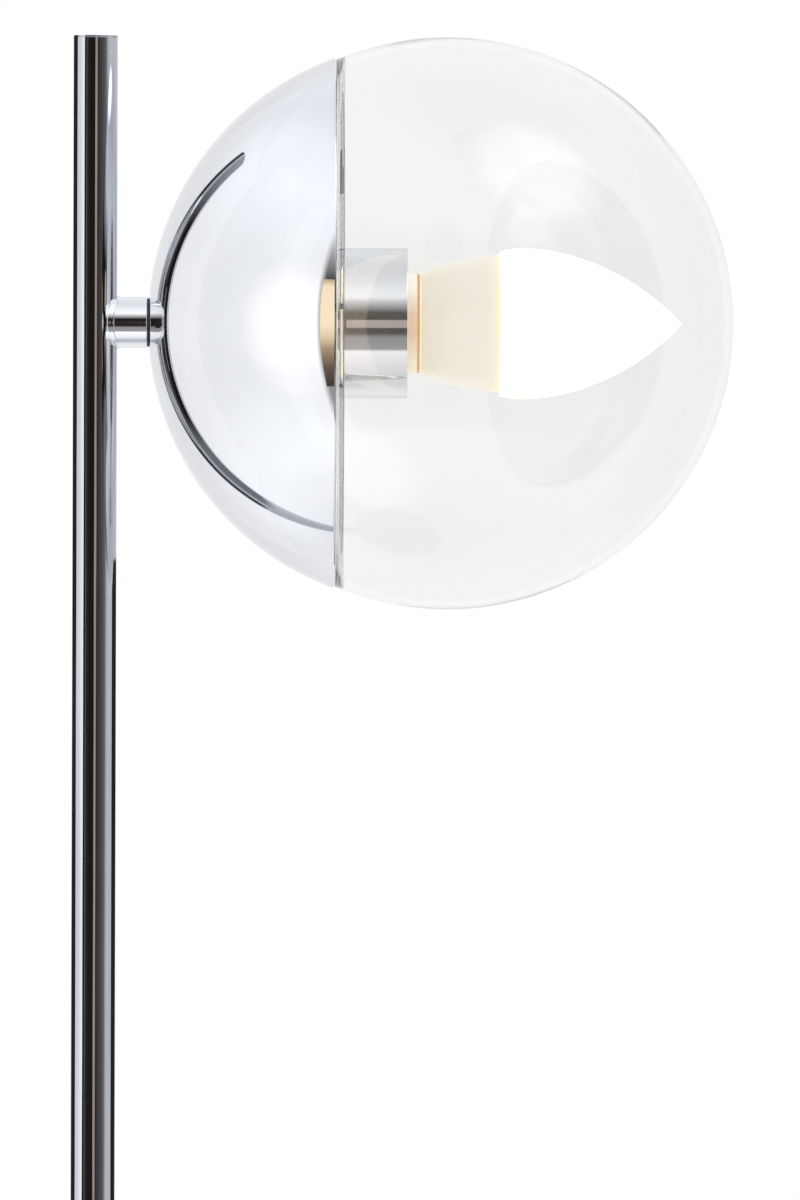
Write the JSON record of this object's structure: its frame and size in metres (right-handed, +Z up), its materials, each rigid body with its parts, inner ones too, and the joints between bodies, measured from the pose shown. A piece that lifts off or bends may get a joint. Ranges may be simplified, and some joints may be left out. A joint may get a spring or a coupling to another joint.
{
  "type": "table lamp",
  "caption": "Table lamp with a round base, a slim upright stem and a globe head, half polished metal and half clear glass, around a flame-shaped bulb.",
  "frame": {"origin": "middle of the base's underside, on the stem's axis", "axes": "+Z up along the stem, +X from the stem along the arm and the head's axis, +Y to the rear"},
  "size_m": [0.2544, 0.17, 0.48],
  "materials": {
    "chrome": "bright chrome plate",
    "cast_iron": "raw casting",
    "zinc_steel": "zinc plated",
    "spring_steel": "bright",
    "foam": "closed-cell foam",
    "black_rubber": "moulded",
    "brass": "turned",
    "nickel_brass": "nickel plated",
    "cream_plastic": "moulded",
    "white_nylon": "moulded",
    "white_plastic": "moulded",
    "frosted_plastic": "frosted and lit",
    "black_glass": "fired",
    "clear_glass": "blown, clear",
    "board": "printed board",
    "white_board": "white solder mask on aluminium",
    "led_phosphor": "phosphor",
    "capacitor_sleeve": "shrink sleeve",
    "brown_lead": "insulated wire",
    "blue_lead": "insulated wire",
    "earth_lead": "green wire with a yellow stripe"
  },
  "bodies": {
    "stand": {"base_cover": "chrome", "base_weight": "cast_iron", "bottom_plate": "zinc_steel", "base_pad": "foam", "plate_screws": "zinc_steel", "cord_bush": "black_rubber", "terminal_block": "white_nylon", "terminal_barrels": "brass", "clamp_screws": "zinc_steel", "block_screws": "zinc_steel", "stem_tube": "chrome", "stem_cap": "chrome", "stem_foot": "zinc_steel", "stem_washer": "zinc_steel", "stem_nut": "zinc_steel", "earth_tag": "nickel_brass", "arm": "chrome", "arm_nipple": "zinc_steel", "dome": "chrome", "dome_seat": "zinc_steel", "head_nut": "zinc_steel", "cup_spacer": "zinc_steel", "holder_cup": "chrome", "holder_cap": "cream_plastic", "holder_sleeve": "cream_plastic", "holder_core": "cream_plastic", "holder_terminals": "brass", "holder_screws": "zinc_steel", "screw_shell": "brass", "centre_contact": "brass", "glass_clips": "spring_steel", "live_lead": "brown_lead", "neutral_lead": "blue_lead", "earth_lead": "earth_lead"},
    "globe": {"glass_globe": "clear_glass"},
    "bulb": {"bulb_cap": "nickel_brass", "bulb_insulator": "black_glass", "bulb_button": "brass", "bulb_body": "white_plastic", "bulb_diffuser": "frosted_plastic", "led_board": "white_board", "led_chips": "led_phosphor", "driver_board": "board", "driver_capacitor": "capacitor_sleeve"}
  },
  "joints": [
    {"name": "globe_pull", "type": "slide", "parent": "stand", "child": "globe", "axis": [1, 0, 0], "range_m": [0, 0.105]},
    {"name": "bulb_unscrew", "type": "hinge", "parent": "stand", "child": "bulb", "pos_m": [0.0851, 0, 0.4048], "axis": [1, 0, 0], "range_deg": [0, 1260]}
  ]
}
